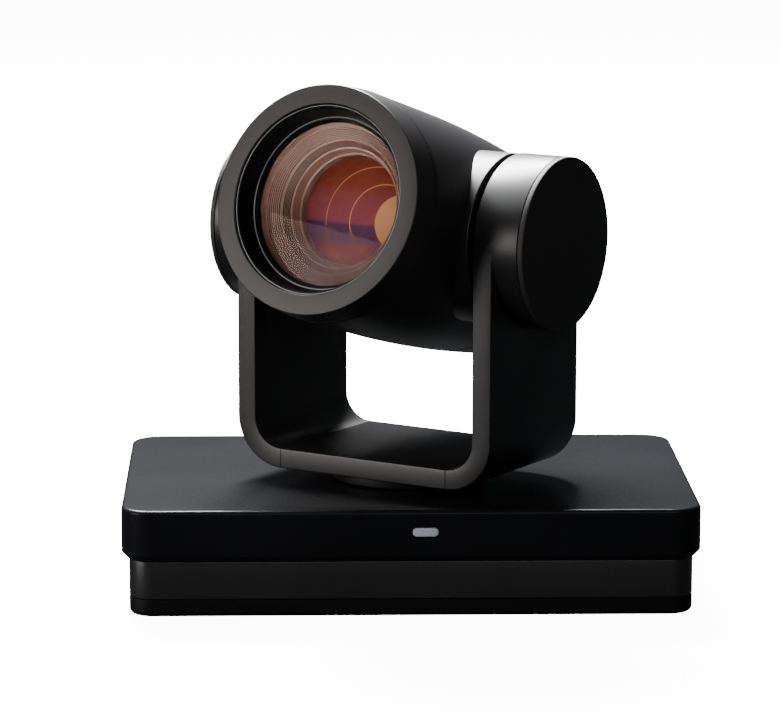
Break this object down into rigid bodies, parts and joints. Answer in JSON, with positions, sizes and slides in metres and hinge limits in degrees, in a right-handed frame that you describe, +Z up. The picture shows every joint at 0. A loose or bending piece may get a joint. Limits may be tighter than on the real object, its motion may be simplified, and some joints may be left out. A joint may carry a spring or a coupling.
{
  "type": "ptz camera",
  "caption": "Desk-top pan-tilt-zoom camera: a wide low base with connectors at the back, a U-shaped yoke that pans, and a round zoom-lens head that tilts.",
  "frame": {"origin": "on the desk, under the middle of the base, on the flat face of the tripod plate", "axes": "+Z up; the long front of the base, with the status lens, faces -Y; +X to the right of someone who looks at that front"},
  "size_m": [0.222, 0.1652, 0.2032],
  "materials": {
    "shell_black": "satin black, very fine grain",
    "face_grey": "flat dark brownish grey, fine texture",
    "band_black": "smoked black, smooth",
    "clear_plastic": "frosted pale light window",
    "rubber": "matte black",
    "steel": "plated",
    "circuit_board": "green solder mask",
    "black_plastic": "moulded black",
    "aluminium": "machined",
    "coated_glass": "anti-reflection coated, warm reflections"
  },
  "bodies": {
    "base": {"base_tray": "shell_black", "base_band": "band_black", "base_top_cover": "shell_black", "status_lens": "clear_plastic", "tripod_plate": "steel", "foot_front_left": "rubber", "foot_front_right": "rubber", "foot_back_right": "rubber", "foot_back_left": "rubber", "cover_screw_front_left": "steel", "cover_screw_front_right": "steel", "cover_screw_back_right": "steel", "cover_screw_back_left": "steel", "main_board": "circuit_board", "front_board": "circuit_board", "connector_panel": "shell_black", "network_jack": "steel", "usb_port": "steel", "hdmi_port": "steel", "serial_port": "black_plastic", "power_jack": "black_plastic", "video_connector": "black_plastic", "switch_frame": "black_plastic", "pan_pedestal": "aluminium", "pan_bearing": "steel", "pan_motor_bracket": "steel", "pan_motor": "steel", "pan_belt": "rubber"},
    "switch_rocker": {"switch_rocker": "black_plastic"},
    "pan_motor_pulley": {"pan_motor_pulley": "aluminium"},
    "yoke": {"pan_turntable": "aluminium", "pan_pulley": "aluminium", "yoke_bridge": "shell_black", "yoke_arm_left": "shell_black", "yoke_arm_right": "shell_black", "drum_cap_left": "shell_black", "drum_cap_right": "shell_black", "tilt_bearing_left": "steel", "tilt_bearing_right": "steel", "tilt_motor": "steel", "tilt_belt": "rubber", "tilt_sensor_board": "circuit_board"},
    "tilt_motor_pulley": {"tilt_motor_pulley": "aluminium"},
    "head": {"tilt_shaft_left": "aluminium", "tilt_shaft_right": "aluminium", "tilt_pulley": "aluminium", "head_shell": "shell_black", "head_rear_cover": "shell_black", "lens_hood": "face_grey", "lens_bezel": "black_plastic", "front_glass": "coated_glass", "lens_retaining_ring": "black_plastic", "lens_barrel": "black_plastic", "iris_unit": "black_plastic", "zoom_motor": "steel", "focus_motor": "steel", "image_sensor_board": "circuit_board", "processor_board": "circuit_board"},
    "zoom_group": {"zoom_group": "coated_glass"},
    "focus_group": {"focus_group": "coated_glass"}
  },
  "joints": [
    {"name": "pan", "type": "hinge", "parent": "base", "child": "yoke", "pos_m": [0, -0.0077, 0.045], "axis": [0, 0, 1], "range_deg": [-136.34, 203.66]},
    {"name": "tilt", "type": "hinge", "parent": "yoke", "child": "head", "pos_m": [0, -0.0077, 0.1412], "axis": [-0.8323, 0.5543, 0], "range_deg": [-46.74, 73.26]},
    {"name": "pan_motor", "type": "hinge", "parent": "base", "child": "pan_motor_pulley", "pos_m": [-0.048, -0.0077, 0.035], "axis": [0, 0, 1], "range_deg": [-412, 614]},
    {"name": "tilt_motor", "type": "hinge", "parent": "yoke", "child": "tilt_motor_pulley", "pos_m": [0.05493, -0.04428, 0.1219], "axis": [-0.8323, 0.5543, 0], "range_deg": [-142, 222]},
    {"name": "zoom", "type": "slide", "parent": "head", "child": "zoom_group", "axis": [-0.5308, -0.7971, 0.288], "range_m": [-0.024, 0.002]},
    {"name": "focus", "type": "slide", "parent": "head", "child": "focus_group", "axis": [-0.5308, -0.7971, 0.288], "range_m": [-0.008, 0.003]},
    {"name": "power_switch", "type": "hinge", "parent": "base", "child": "switch_rocker", "pos_m": [0.07, 0.0669, 0.019], "axis": [0, 0, 1], "range_deg": [-14, 0]}
  ],
  "couplings": [
    {"joint": "pan_motor", "follows": "pan", "ratio": 3},
    {"joint": "tilt_motor", "follows": "tilt", "ratio": 3}
  ]
}
